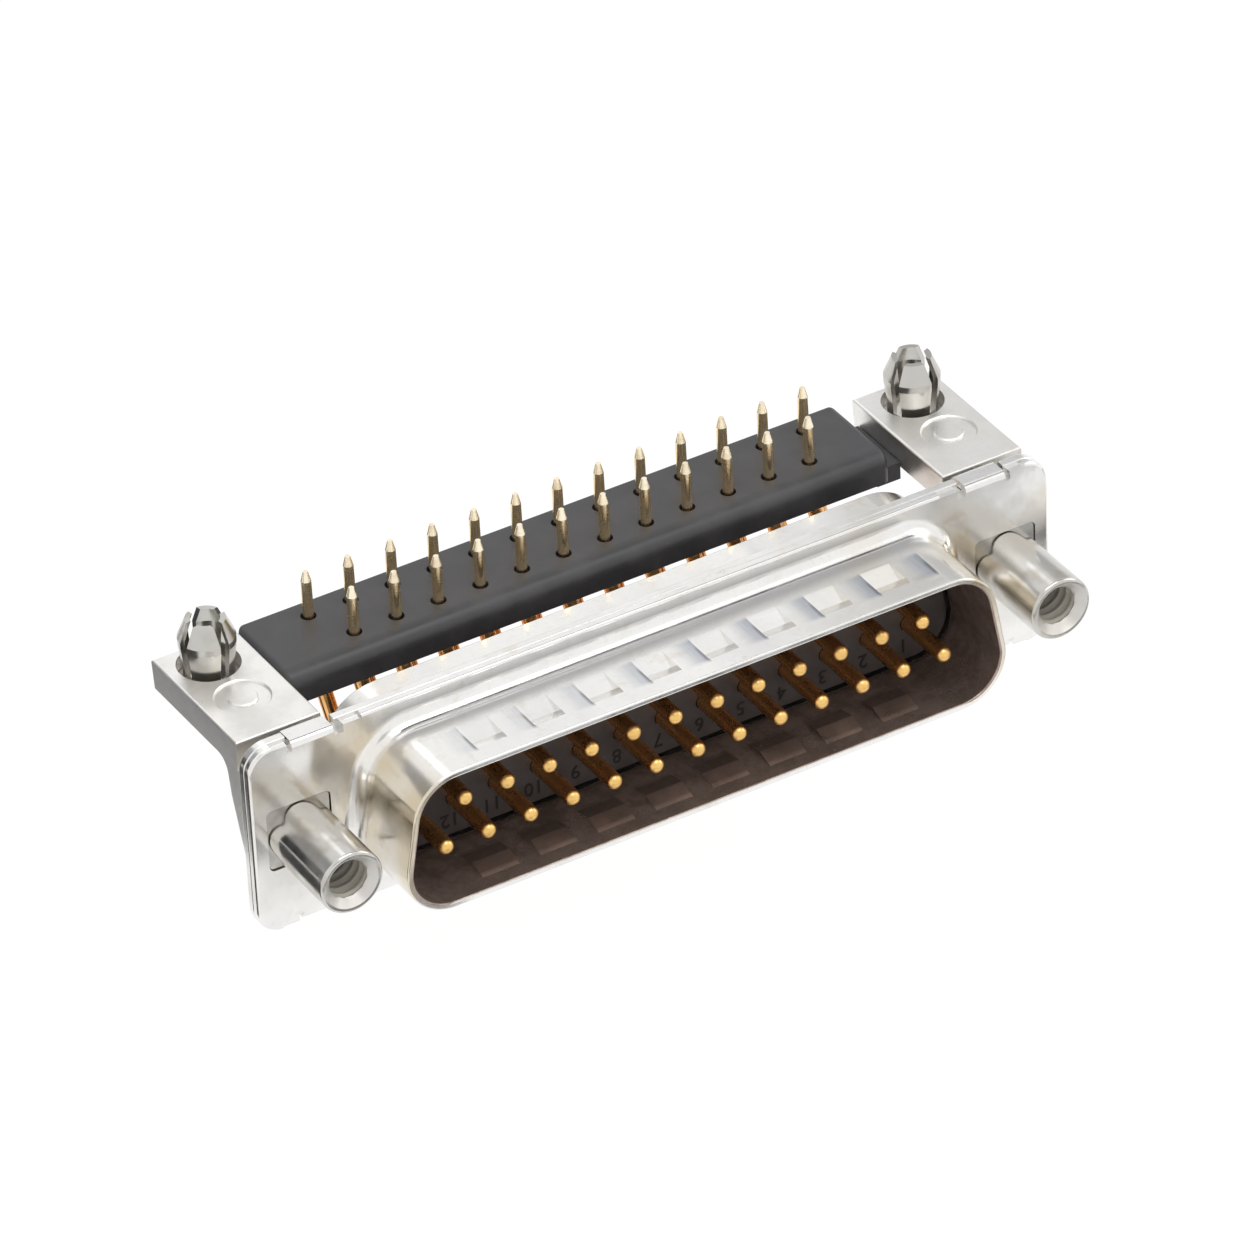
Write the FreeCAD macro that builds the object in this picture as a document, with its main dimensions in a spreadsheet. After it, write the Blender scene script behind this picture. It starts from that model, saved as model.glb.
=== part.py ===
import FreeCAD, Part
import math
import os
import Sketcher

# A 25-way right-angle board connector of the pin kind, tails up.
# Lengths are millimetres. The origin is the middle of the D opening, in the plane of the
# flange's front face. X runs along the contact rows, Y back towards the tails, Z up.

SIZES = {
    # flange and sheet
    "flange_end": 3.0,
    "flange_lip": 2.095,
    "flange_corner": 1.6,
    "front_sheet": 0.55,
    "rear_sheet": 0.55,
    "edge_round": 0.2,
    "seam_round": 0.08,
    # D opening, measured inside the shroud
    "opening_end": 2.92,
    "opening_edge": 2.76,
    "opening_corner": 2.59,
    "side_slant": 10.0,
    "shroud_wall": 0.42,
    "shroud_depth": 5.65,
    "shroud_root": 0.9,
    "rim_round": 0.12,
    # pressed dimples on the shroud's long walls
    "dimple_pitch": 3.81,
    "dimple_width": 2.0,
    "dimple_span": 2.3,
    "dimple_fall": 1.35,
    "dimple_depth": 0.34,
    "dimple_setback": 2.05,
    "dimple_wall": 0.22,
    # windows round the posts
    "window_play": 0.075,
    "window_corner": 0.4,
    # hooked tabs on the flange's long edges
    "tab_inboard": 2.57,
    "tab_width": 2.7,
    "tab_drop": 0.125,
    "tab_sheet": 0.45,
    "tab_lip": 1.1,
    "relief_inboard": 4.37,
    "relief_outboard": 1.46,
    "relief_depth": 0.2,
    "slit_inner": 0.6,
    "slit_outer": 0.3,
    "slit_depth": 0.7,
    "tab_play": 0.05,
    # rear hood
    "hood_wall": 0.55,
    "hood_play": 0.1,
    "hood_depth": 2.6,
    "hood_root": 0.5,
    # insulators
    "insulator_play": 0.3,
    "base_margin": 0.5,
    "nose_proud": 0.3,
    "front_base": 1.4,
    "rear_base": 1.55,
    "rear_boss": 0.8,
    "rear_boss_inset": 1.1,
    # contacts
    "pin_pitch": 2.76,
    "row_pitch": 2.84,
    "wide_count": 13,
    "pin_diameter": 1.0,
    "pin_recess": 1.1,
    "barrel_diameter": 1.2,
    "barrel_start": 0.35,
    "collar_diameter": 1.6,
    "collar_length": 0.6,
    "leg_diameter": 0.95,
    "tail_diameter": 0.64,
    "tail_point": 0.6,
    "tail_end": 0.16,
    "leg_slant": 32.0,
    "leg_bend": 1.1,
    "leg_straight": 0.4,
    "shoulder_rise": 0.8,
    "tail_rise": 3.05,
    "front_tails": 7.81,
    "hole_play": 0.03,
    # spacer bar
    "seat_height": 5.83,
    "spacer_front_margin": 1.94,
    "spacer_rear_margin": 1.3,
    "spacer_thickness": 1.98,
    "spacer_gap_left": 0.05,
    "spacer_gap_right": 1.15,
    "spacer_round": 1.0,
    "spacer_corner": 0.5,
    "tail_play": 0.15,
    "lead_in": 0.3,
    "tongue_inset": 0.74,
    "tongue_height": 1.15,
    "tongue_drop": 0.65,
    "tongue_play": 0.05,
    # brackets
    "bracket_inboard": 2.87,
    "bracket_outboard": 2.56,
    "plate_gap": 1.0,
    "plate_thickness": 1.86,
    "rear_rake": 0.2,
    "crest_drop": 1.83,
    "leg_thickness": 2.35,
    "knee_thickness": 1.95,
    "knee_height": 1.7,
    "toe": 0.12,
    "foot_height": 3.9,
    "leg_fillet": 1.1,
    "leg_relief": 0.7,
    "bracket_edge": 0.15,
    "lock_from_flange": 9.8,
    "lock_margin": 2.1,
    "lock_hole": 3.75,
    "mark_from_flange": 5.87,
    "mark_outer": 1.6,
    "mark_inner": 0.9,
    "mark_depth": 0.15,
    "mark_edge": 0.08,
    # board locks
    "lock_play": 0.025,
    "lock_collar_length": 0.9,
    "lock_root": 3.0,
    "lock_widest": 3.37,
    "lock_widest_rise": 1.94,
    "lock_top": 2.36,
    "lock_rise": 3.12,
    "lock_wall": 0.33,
    "lock_belly": 0.4,
    "lock_slot": 0.6,
    "lock_slot_sink": 0.53,
    "lock_turn_left": 10.0,
    "lock_turn_right": 21.0,
    # threaded posts
    "post_offset": 4.04,
    "post_diameter": 4.0,
    "post_length": 5.92,
    "post_wall": 0.34,
    "post_mouth_depth": 0.5,
    "thread_bore": 2.4,
    "post_round": 0.2,
    "collar_sink": 0.12,
    "post_collar_play": 0.05,
    "shank_diameter": 3.2,
    "shank_play": 0.05,
    "head_diameter": 3.9,
    "head_length": 0.6,
    "spot_rise": 0.65,
    "spot_play": 0.15,
}


class Size:
    """A length that knows its value and the sheet formula behind it."""

    def __init__(self, text, value):
        self.text, self.value = text, value

    def __add__(self, other):
        return joined(self, "+", other)

    def __radd__(self, other):
        return joined(other, "+", self)

    def __sub__(self, other):
        return joined(self, "-", other)

    def __rsub__(self, other):
        return joined(other, "-", self)

    def __mul__(self, other):
        return joined(self, "*", other)

    def __rmul__(self, other):
        return joined(other, "*", self)

    def __truediv__(self, other):
        return joined(self, "/", other)

    def __neg__(self):
        return joined(0.0, "-", self)


def plain(value):
    return value if isinstance(value, Size) else Size(repr(float(value)), float(value))


def joined(one, sign, other):
    one, other = plain(one), plain(other)
    value = {"+": one.value + other.value, "-": one.value - other.value,
             "*": one.value * other.value,
             "/": one.value / other.value if other.value else 0.0}[sign]
    return Size("(%s %s %s)" % (one.text, sign, other.text), value)


def whole(size):
    """The whole number just under a size."""
    return Size("floor(%s)" % size.text, math.floor(size.value))


def turned(kind, angle):
    """The sine, cosine or tangent of an angle in degrees."""
    angle = plain(angle)
    value = {"sin": math.sin, "cos": math.cos, "tan": math.tan}[kind](math.radians(angle.value))
    return Size("%s(%s * 1deg)" % (kind, angle.text), value)


doc = FreeCAD.newDocument("board_connector")
sheet = doc.addObject("Spreadsheet::Sheet", "Sizes")
for row, (name, value) in enumerate(SIZES.items(), 1):
    sheet.set("A%d" % row, name)
    sheet.set("B%d" % row, str(value))
    sheet.setAlias("B%d" % row, name)
doc.recompute()


class Named:
    """The sheet's sizes, read by name."""

    def __getattr__(self, name):
        return Size("Sizes." + name, SIZES[name])


s = Named()

# Places that follow from the contact rows
narrow_count = s.wide_count - 1
wide_row = -s.row_pitch / 2
narrow_row = s.row_pitch / 2
opening_width = s.pin_pitch * narrow_count + 2 * s.opening_end
opening_height = s.row_pitch + 2 * s.opening_edge
half_pitch = opening_width / 2 + s.post_offset
flange_width = 2 * (half_pitch + s.flange_end)
flange_height = opening_height + 2 * s.flange_lip
rear_tails = s.front_tails + s.row_pitch

# Places along Y, from the flange's front face
flange_back = s.front_sheet + s.rear_sheet
seam = s.front_sheet + s.front_base
rear_face = seam + s.rear_base
pin_depth = s.shroud_depth - s.pin_recess
spot_face = flange_back + s.spot_rise
plate_front = flange_back + s.plate_gap
knee_rear = flange_back + s.knee_thickness
leg_rear_top = flange_back + s.leg_thickness
plate_rear = s.lock_from_flange + s.lock_margin
spacer_front = s.front_tails - s.spacer_front_margin
spacer_rear = rear_tails + s.spacer_rear_margin

# Places along Z, from the board's underside
plate_bottom = s.seat_height - s.plate_thickness
leg_crest = s.seat_height - s.crest_drop
spacer_bottom = s.seat_height - s.spacer_thickness
leg_top = spacer_bottom - s.leg_straight
tail_height = s.seat_height + s.tail_rise
tab_height = flange_height / 2 - s.tab_drop

# Places along X, from the posts
tab_inner = half_pitch - s.tab_inboard
bracket_inner = half_pitch - s.bracket_inboard
bracket_outer = half_pitch + s.bracket_outboard
spacer_left = s.spacer_gap_left - bracket_inner
spacer_right = bracket_inner - s.spacer_gap_right

# Outlines that follow each other
base_outset = s.base_margin
hood_outset = base_outset + s.hood_play + s.hood_wall
window_side = s.post_diameter + 2 * s.window_play
tail_hole = s.tail_diameter + 2 * s.tail_play
lock_collar = s.lock_hole - 2 * s.lock_play
post_mouth = s.post_diameter - 2 * s.post_wall
spot_diameter = s.head_diameter + 2 * s.spot_play


# Sketch helpers

def bind(thing, name, size):
    thing.setExpression(name, plain(size).text)


def start_body(name):
    body = doc.addObject("PartDesign::Body", name)
    body.Label = name
    return body


def origin_part(body, role):
    return next(part for part in body.Origin.OriginFeatures if part.Role == role)


def start_sketch(body, name, role, height=0.0, across=0.0, up=0.0):
    """A sketch on one of the body's own planes, raised along its normal and moved in it."""
    sketch = body.newObject("Sketcher::SketchObject", name)
    sketch.AttachmentSupport = [(origin_part(body, role), "")]
    sketch.MapMode = "FlatFace"
    bind(sketch, "AttachmentOffset.Base.z", height)
    bind(sketch, "AttachmentOffset.Base.x", across)
    bind(sketch, "AttachmentOffset.Base.y", up)
    return sketch


def hold(sketch, kind, *place, size=None):
    """Adds one constraint; with a size, its value follows the sheet."""
    if size is None:
        return sketch.addConstraint(Sketcher.Constraint(kind, *place))
    size = plain(size)
    index = sketch.addConstraint(Sketcher.Constraint(kind, *place, size.value))
    sketch.setExpression("Constraints[%d]" % index, size.text)
    return index


def pin_point(sketch, line, end, x, y):
    hold(sketch, "DistanceX", -1, 1, line, end, size=x)
    hold(sketch, "DistanceY", -1, 1, line, end, size=y)


def polygon(sketch, points, closed=True):
    """Straight lines through points given as sizes, as a closed outline unless told not to."""
    places = [FreeCAD.Vector(plain(x).value, plain(y).value, 0) for x, y in points]
    count = len(points)
    lines = [sketch.addGeometry(Part.LineSegment(places[i], places[(i + 1) % count]), False)
             for i in range(count if closed else count - 1)]
    for i, line in enumerate(lines if closed else lines[:-1]):
        hold(sketch, "Coincident", line, 2, lines[(i + 1) % count], 1)
    for line, (x, y) in zip(lines, points):
        pin_point(sketch, line, 1, x, y)
    if not closed:
        pin_point(sketch, lines[-1], 2, *points[-1])
    return lines


def box(sketch, left, right, bottom, top):
    return polygon(sketch, [(left, bottom), (right, bottom), (right, top), (left, top)])


def circle(sketch, x, y, diameter):
    centre = FreeCAD.Vector(plain(x).value, plain(y).value, 0)
    ring = sketch.addGeometry(
        Part.Circle(centre, FreeCAD.Vector(0, 0, 1), plain(diameter).value / 2), False)
    pin_point(sketch, ring, 3, x, y)
    hold(sketch, "Diameter", ring, size=diameter)
    return ring


def rounded_loop(sketch, centres, radius, normals):
    """Arcs of one radius joined by tangent lines; normals are each arc's start angles."""
    count = len(centres)
    grip = plain(radius).value
    arcs, lines = [], []
    for i, (x, y) in enumerate(centres):
        middle = FreeCAD.Vector(plain(x).value, plain(y).value, 0)
        ring = Part.Circle(middle, FreeCAD.Vector(0, 0, 1), grip)
        start, stop = math.radians(normals[i]), math.radians(normals[(i + 1) % count])
        if stop <= start:
            stop += 2 * math.pi
        arcs.append(sketch.addGeometry(Part.ArcOfCircle(ring, start, stop), False))
    for i in range(count):
        one, other = sketch.Geometry[arcs[i]], sketch.Geometry[arcs[(i + 1) % count]]
        lines.append(sketch.addGeometry(Part.LineSegment(one.EndPoint, other.StartPoint), False))
    for i in range(count):
        hold(sketch, "Tangent", arcs[i], 2, lines[i], 1)
        hold(sketch, "Tangent", lines[i], 2, arcs[(i + 1) % count], 1)
        pin_point(sketch, arcs[i], 3, *centres[i])
    hold(sketch, "Radius", arcs[0], size=radius)
    for arc in arcs[1:]:
        hold(sketch, "Equal", arcs[0], arc)


def rounded_box(sketch, x, y, width, height, radius):
    across, up = width / 2 - radius, height / 2 - radius
    centres = [(x + across, y - up), (x + across, y + up), (x - across, y + up), (x - across, y - up)]
    rounded_loop(sketch, centres, radius, [-90, 0, 90, 180])


def d_corners():
    """The centres of the opening's four corner arcs; its wide side is below."""
    low = s.opening_corner - opening_height / 2
    high = opening_height / 2 - s.opening_corner
    wide = opening_width / 2 - s.opening_corner
    narrow = wide - (high - low) * turned("tan", s.side_slant)
    return [(wide, low), (narrow, high), (-narrow, high), (-wide, low)]


def d_outline(sketch, outset):
    """The D of the opening, moved out by an even distance."""
    slant = SIZES["side_slant"]
    rounded_loop(sketch, d_corners(), s.opening_corner + outset, [-90, slant, 90, 180 - slant])


# Feature helpers

def pad(body, sketch, length, back=False, middle=False, name="Pad"):
    feature = body.newObject("PartDesign::Pad", name)
    feature.Profile = sketch
    bind(feature, "Length", length)
    feature.Reversed = back
    feature.SideType = "Symmetric" if middle else "One side"
    sketch.Visibility = False
    return feature


def pocket(body, sketch, length, back=False, middle=False, name="Pocket"):
    feature = body.newObject("PartDesign::Pocket", name)
    feature.Profile = sketch
    bind(feature, "Length", length)
    feature.Reversed = back
    feature.SideType = "Symmetric" if middle else "One side"
    return feature


def turn(body, sketch, axis, kind="Revolution"):
    """Turns a profile about its own sketch's horizontal or vertical axis."""
    feature = body.newObject("PartDesign::" + kind, kind)
    feature.Profile = sketch
    feature.ReferenceAxis = (sketch, [axis])
    feature.Angle = 360
    return feature


def repeat(body, features, span, count, name="Row"):
    """Copies features along X, from the first one towards +X."""
    pattern = body.newObject("PartDesign::LinearPattern", name)
    pattern.Originals = features
    pattern.Direction = (origin_part(body, "X_Axis"), [""])
    bind(pattern, "Length", span)
    bind(pattern, "Occurrences", count)
    body.Tip = pattern
    return pattern


def edges_where(feature, test, partly):
    """The names of a feature's edges whose every point, or every point but the ends, passes."""
    names = []
    for index, edge in enumerate(feature.Shape.Edges, 1):
        first, last = edge.ParameterRange
        points = [edge.valueAt(first + (last - first) * k / 4) for k in range(5)]
        if all(test(point) for point in (points[1:-1] if partly else points)):
            names.append("Edge%d" % index)
    return names


def soften(body, kind, size, test, name, partly=False):
    """A fillet or chamfer on the edges that pass the test."""
    doc.recompute()
    base = body.Tip
    edges = edges_where(base, test, partly)
    assert edges, "no edge found for " + name
    feature = body.newObject("PartDesign::" + kind, name)
    feature.Base = (base, edges)
    bind(feature, "Radius" if kind == "Fillet" else "Size", size)
    return feature


def near(value, size):
    return abs(value - plain(size).value) < 1e-4


# Shells

def tab_spans():
    """For each hooked tab: its sides along X and whether it is on the upper or lower edge."""
    near_side, far_side = tab_inner, tab_inner + s.tab_width
    for level in (1, -1):
        yield near_side, far_side, level
        yield -far_side, -near_side, level


def cut_edge_notches(body, depth_height, inner, outer, plane_height, depth):
    """Notches in the flange's long edges, one where each tab passes."""
    sketch = start_sketch(body, "Notches", "XZ_Plane", plane_height)
    top = flange_height
    for left, right, level in tab_spans():
        inside, outside = (inner, outer) if left.value > 0 else (outer, inner)
        box(sketch, left - inside, right + outside, depth_height * level, top * level)
    pocket(body, sketch, depth, name="NotchCut")


def make_front_shell():
    body = start_body("front_shell")
    outline = start_sketch(body, "FlangeOutline", "XZ_Plane")
    rounded_box(outline, 0.0, 0.0, flange_width, flange_height, s.flange_corner)
    pad(body, outline, s.front_sheet, back=True, name="Flange")
    soften(body, "Fillet", s.edge_round, lambda p: near(p.y, 0), "FlangeEdge")
    soften(body, "Fillet", s.seam_round, lambda p: near(p.y, s.front_sheet), "SeamEdge")

    outside = start_sketch(body, "ShroudOutside", "XZ_Plane")
    d_outline(outside, s.shroud_wall)
    pad(body, outside, s.shroud_depth, name="Shroud")
    reach = (opening_width / 2 + s.shroud_wall + 0.01).value
    rise = (opening_height / 2 + s.shroud_wall + 0.01).value
    soften(body, "Fillet", s.shroud_root,
           lambda p: near(p.y, 0) and abs(p.x) < reach and abs(p.z) < rise, "ShroudRoot")

    inside = start_sketch(body, "Opening", "XZ_Plane", s.shroud_depth)
    d_outline(inside, 0.0)
    pocket(body, inside, s.shroud_depth + 2 * s.front_sheet, name="OpeningCut")
    soften(body, "Fillet", s.rim_round, lambda p: near(p.y, -s.shroud_depth), "Rim")

    windows = start_sketch(body, "Windows", "XZ_Plane")
    for side in (1, -1):
        rounded_box(windows, half_pitch * side, 0.0, window_side, window_side, s.window_corner)
    pocket(body, windows, 2 * s.front_sheet, name="WindowCut")

    root_height = flange_height / 2 - s.slit_depth
    cut_edge_notches(body, root_height, s.slit_inner, s.slit_outer, s.edge_round,
                     s.edge_round + 2 * s.front_sheet)
    relief = start_sketch(body, "EdgeRelief", "XZ_Plane", s.edge_round)
    near_end, far_end = half_pitch - s.relief_inboard, half_pitch + s.relief_outboard
    edge = flange_height / 2 - s.relief_depth
    for level in (1, -1):
        box(relief, near_end, far_end, edge * level, flange_height * level)
        box(relief, -far_end, -near_end, edge * level, flange_height * level)
    pocket(body, relief, s.edge_round + 2 * s.front_sheet, name="ReliefCut")
    hook_front = flange_back + s.tab_play
    hook_back = hook_front + s.tab_sheet
    for left, right, level in tab_spans():
        hook = start_sketch(body, "TabProfile", "YZ_Plane", (left + right) / 2)
        under = tab_height - s.tab_sheet
        lip = tab_height - s.tab_lip
        corners = [(0.0, root_height), (0.0, tab_height), (hook_back, tab_height),
                   (hook_back, lip), (hook_front, lip), (hook_front, under),
                   (s.front_sheet, under), (s.front_sheet, root_height)]
        polygon(hook, [(y, plain(z) * level) for y, z in corners])
        pad(body, hook, s.tab_width, middle=True, name="Tab")
    soften(body, "Fillet", s.tab_sheet - 0.05,
           lambda p: near(abs(p.z), tab_height) and (near(p.y, 0) or near(p.y, hook_back)),
           "TabBend")
    add_dimples(body)
    return body


def add_dimples(body):
    """V-shaped dimples pressed into the shroud's two long walls, as many as the walls hold."""
    count = whole((2 * d_corners()[1][0]) / s.dimple_pitch)
    rear = -s.dimple_setback
    front = rear - s.dimple_span
    valley = rear - s.dimple_fall
    inner = opening_height / 2
    outer = inner + s.shroud_wall
    first = -s.dimple_pitch * (count - 1) / 2
    for level in (1, -1):
        bump = start_sketch(body, "DimpleInside", "YZ_Plane", first)
        soak = inner + s.shroud_wall / 2
        points = [(rear + s.dimple_wall, soak), (rear + s.dimple_wall, inner),
                  (valley, inner - s.dimple_depth), (front - s.dimple_wall, inner),
                  (front - s.dimple_wall, soak)]
        polygon(bump, [(y, z * level) for y, z in points])
        inside = pad(body, bump, s.dimple_width + 2 * s.dimple_wall, middle=True, name="Bump")
        dent = start_sketch(body, "DimpleOutside", "YZ_Plane", first)
        points = [(rear, outer), (valley, outer - s.dimple_depth), (front, outer)]
        polygon(dent, [(y, z * level) for y, z in points])
        outside = pocket(body, dent, s.dimple_width, middle=True, name="Dent")
        repeat(body, [inside, outside], s.dimple_pitch * (count - 1), count,
               "Dimples")


def make_rear_shell():
    body = start_body("rear_shell")
    outline = start_sketch(body, "FlangeOutline", "XZ_Plane", -s.front_sheet)
    rounded_box(outline, 0.0, 0.0, flange_width, flange_height, s.flange_corner)
    pad(body, outline, s.rear_sheet, back=True, name="Flange")
    soften(body, "Fillet", s.seam_round,
           lambda p: near(p.y, s.front_sheet) or near(p.y, flange_back), "SeamEdge")

    hood = start_sketch(body, "HoodOutside", "XZ_Plane", -s.front_sheet)
    d_outline(hood, hood_outset)
    pad(body, hood, s.rear_sheet + s.hood_depth, back=True, name="Hood")
    reach = (opening_width / 2 + hood_outset + 0.01).value
    rise = (opening_height / 2 + hood_outset + 0.01).value
    soften(body, "Fillet", s.hood_root,
           lambda p: near(p.y, flange_back) and abs(p.x) < reach and abs(p.z) < rise, "HoodRoot")

    inside = start_sketch(body, "HoodInside", "XZ_Plane", -s.front_sheet)
    d_outline(inside, base_outset + s.hood_play)
    pocket(body, inside, s.rear_sheet + 2 * s.hood_depth, name="HoodCut")
    soften(body, "Fillet", s.rim_round, lambda p: near(p.y, flange_back + s.hood_depth), "HoodRim")

    holes = start_sketch(body, "ShankHoles", "XZ_Plane", -s.front_sheet)
    for side in (1, -1):
        circle(holes, half_pitch * side, 0.0, s.shank_diameter + 2 * s.shank_play)
    pocket(body, holes, 2 * s.rear_sheet, name="ShankCut")
    under = tab_height - s.tab_sheet - s.tab_play
    cut_edge_notches(body, under, s.slit_inner / 2, s.slit_outer / 2, -s.front_sheet,
                     2 * s.rear_sheet)
    return body


# Insulators

def cut_pin_holes(body, profile, name):
    """One stepped hole for each contact, in two staggered rows; the profile is along Y."""
    for row, count in ((wide_row, s.wide_count), (narrow_row, narrow_count)):
        span = s.pin_pitch * (count - 1)
        sketch = start_sketch(body, name, "YZ_Plane", -span / 2, up=row)
        polygon(sketch, profile)
        hole = turn(body, sketch, "H_Axis", "Groove")
        repeat(body, [hole], span, count, name + "Row")


def make_front_insulator():
    body = start_body("front_insulator")
    nose = start_sketch(body, "Nose", "XZ_Plane", s.nose_proud)
    d_outline(nose, -s.insulator_play)
    pad(body, nose, s.nose_proud + seam, back=True, name="NosePad")
    base = start_sketch(body, "Base", "XZ_Plane", -s.front_sheet)
    d_outline(base, base_outset)
    pad(body, base, s.front_base, back=True, name="BasePad")
    small = s.pin_diameter / 2 + s.hole_play
    large = s.barrel_diameter / 2 + s.hole_play
    step = s.barrel_start - s.hole_play
    cut_pin_holes(body, [(-s.nose_proud, 0.0), (-s.nose_proud, small), (step, small),
                         (step, large), (seam, large), (seam, 0.0)], "PinHole")
    return body


def make_rear_insulator():
    body = start_body("rear_insulator")
    base = start_sketch(body, "Base", "XZ_Plane", -seam)
    d_outline(base, base_outset)
    pad(body, base, s.rear_base, back=True, name="BasePad")
    boss = start_sketch(body, "Boss", "XZ_Plane", -seam)
    d_outline(boss, -s.rear_boss_inset)
    pad(body, boss, s.rear_base + s.rear_boss, back=True, name="BossPad")
    large = s.collar_diameter / 2 + s.hole_play
    small = s.leg_diameter / 2 + s.hole_play
    step, end = seam + s.collar_length + s.hole_play, rear_face + s.rear_boss
    cut_pin_holes(body, [(seam, 0.0), (seam, large), (step, large), (step, small),
                         (end, small), (end, 0.0)], "LegHole")
    return body


# Contacts

def bent_path(body, start, tail, drop):
    """The line that a contact's leg follows: straight back, slanted, then straight up."""
    sketch = start_sketch(body, "LegPath", "YZ_Plane")
    bend, slant = s.leg_bend, s.leg_slant
    knee = tail - drop * turned("tan", slant)
    first = (knee - bend * turned("tan", (90.0 - slant) / 2), bend)
    last = (tail - bend, drop + bend * turned("tan", slant / 2))
    top = spacer_bottom - (leg_top - drop)
    places = [tuple(plain(v).value for v in point) for point in (first, last)]
    lean = SIZES["leg_slant"]
    arcs = []
    for (y, z), begin, end in ((places[0], -90, -lean), (places[1], -lean, 0)):
        ring = Part.Circle(FreeCAD.Vector(y, z, 0), FreeCAD.Vector(0, 0, 1), SIZES["leg_bend"])
        arcs.append(sketch.addGeometry(
            Part.ArcOfCircle(ring, math.radians(begin), math.radians(end)), False))
    low, high = (sketch.Geometry[arc] for arc in arcs)
    begin = FreeCAD.Vector(plain(start).value, 0, 0)
    end = FreeCAD.Vector(plain(tail).value, top.value, 0)
    runs = [sketch.addGeometry(Part.LineSegment(*ends), False)
            for ends in ((begin, low.StartPoint), (low.EndPoint, high.StartPoint), (high.EndPoint, end))]
    hold(sketch, "Tangent", runs[0], 2, arcs[0], 1)
    hold(sketch, "Tangent", arcs[0], 2, runs[1], 1)
    hold(sketch, "Tangent", runs[1], 2, arcs[1], 1)
    hold(sketch, "Tangent", arcs[1], 2, runs[2], 1)
    pin_point(sketch, arcs[0], 3, *first)
    pin_point(sketch, arcs[1], 3, *last)
    hold(sketch, "Radius", arcs[0], size=bend)
    hold(sketch, "Radius", arcs[1], size=bend)
    pin_point(sketch, runs[0], 1, start, 0.0)
    pin_point(sketch, runs[2], 2, tail, top)
    return sketch


def make_contact(name, x, row, tail):
    """A turned pin with a collar, a bent leg behind it and a pointed tail."""
    body = start_body(name)
    bind(body, "Placement.Base.x", x)
    bind(body, "Placement.Base.z", row)
    start = seam + s.collar_length
    pin_grip, collar_grip = s.pin_diameter / 2, s.collar_diameter / 2
    profile = start_sketch(body, "PinProfile", "YZ_Plane")
    nose, barrel_grip = pin_grip - pin_depth, s.barrel_diameter / 2
    lines = polygon(profile, [(nose, pin_grip), (s.barrel_start, pin_grip),
                              (s.barrel_start, barrel_grip), (seam, barrel_grip),
                              (seam, collar_grip), (start, collar_grip), (start, 0.0),
                              (-pin_depth, 0.0)], closed=False)
    ball = Part.Circle(FreeCAD.Vector(nose.value, 0, 0), FreeCAD.Vector(0, 0, 1), pin_grip.value)
    arc = profile.addGeometry(Part.ArcOfCircle(ball, math.pi / 2, math.pi), False)
    hold(profile, "Coincident", arc, 1, lines[0], 1)
    hold(profile, "Coincident", arc, 2, lines[-1], 2)
    hold(profile, "PointOnObject", arc, 3, -1)
    turn(body, profile, "H_Axis")

    path = bent_path(body, start, tail, leg_top - row)
    section = start_sketch(body, "LegSection", "XZ_Plane", -start)
    circle(section, 0.0, 0.0, s.leg_diameter)
    leg = body.newObject("PartDesign::AdditivePipe", "Leg")
    leg.Profile = section
    leg.Spine = (path, [])

    tip = start_sketch(body, "TailProfile", "YZ_Plane", 0.0, tail)
    foot, top = spacer_bottom - row, tail_height - row
    shoulder, thin = foot + s.shoulder_rise, s.tail_diameter / 2
    polygon(tip, [(0.0, foot), (s.leg_diameter / 2, foot), (s.leg_diameter / 2, shoulder),
                  (thin, shoulder + s.lead_in), (thin, top - s.tail_point), (s.tail_end, top),
                  (0.0, top)])
    turn(body, tip, "V_Axis")
    return body


def make_contacts():
    rows = ((wide_row, rear_tails, s.wide_count), (narrow_row, s.front_tails, narrow_count))
    number = 0
    for row, tail, count in rows:
        for place in range(int(count.value)):
            number += 1
            x = s.pin_pitch * ((count - 1) / 2 - place)
            make_contact("contact_%02d" % number, x, row, tail)


# Spacer bar

def make_pin_spacer():
    body = start_body("pin_spacer")
    bar = start_sketch(body, "BarEnd", "YZ_Plane", spacer_left)
    box(bar, spacer_front, spacer_rear, spacer_bottom, s.seat_height)
    pad(body, bar, spacer_right - spacer_left, name="Bar")
    soften(body, "Fillet", s.spacer_round,
           lambda p: near(p.y, spacer_front) and near(p.z, s.seat_height), "FrontRound")
    soften(body, "Fillet", s.spacer_corner,
           lambda p: (near(p.x, spacer_left) or near(p.x, spacer_right)) and
           not near(p.z, spacer_bottom), "EndEdges", partly=True)

    tongue = start_sketch(body, "Tongue", "XY_Plane", spacer_bottom - s.tongue_drop)
    root, tip = spacer_right - s.spacer_corner, bracket_inner - s.tongue_play
    box(tongue, root, tip, spacer_front + s.tongue_inset, spacer_rear - s.tongue_inset)
    pad(body, tongue, s.tongue_height, name="TonguePad")

    for tail, count in ((rear_tails, s.wide_count), (s.front_tails, narrow_count)):
        span = s.pin_pitch * (count - 1)
        profile = start_sketch(body, "TailHole", "YZ_Plane", -span / 2, tail)
        grip, wide = tail_hole / 2, s.leg_diameter / 2 + s.hole_play
        step = spacer_bottom + s.shoulder_rise + s.hole_play
        polygon(profile, [(0.0, spacer_bottom), (wide, spacer_bottom), (wide, step),
                          (grip, step + s.lead_in), (grip, s.seat_height), (0.0, s.seat_height)])
        hole = turn(body, profile, "V_Axis", "Groove")
        repeat(body, [hole], span, count, "TailHoles")
    return body


# Brackets, board locks and posts

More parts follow.
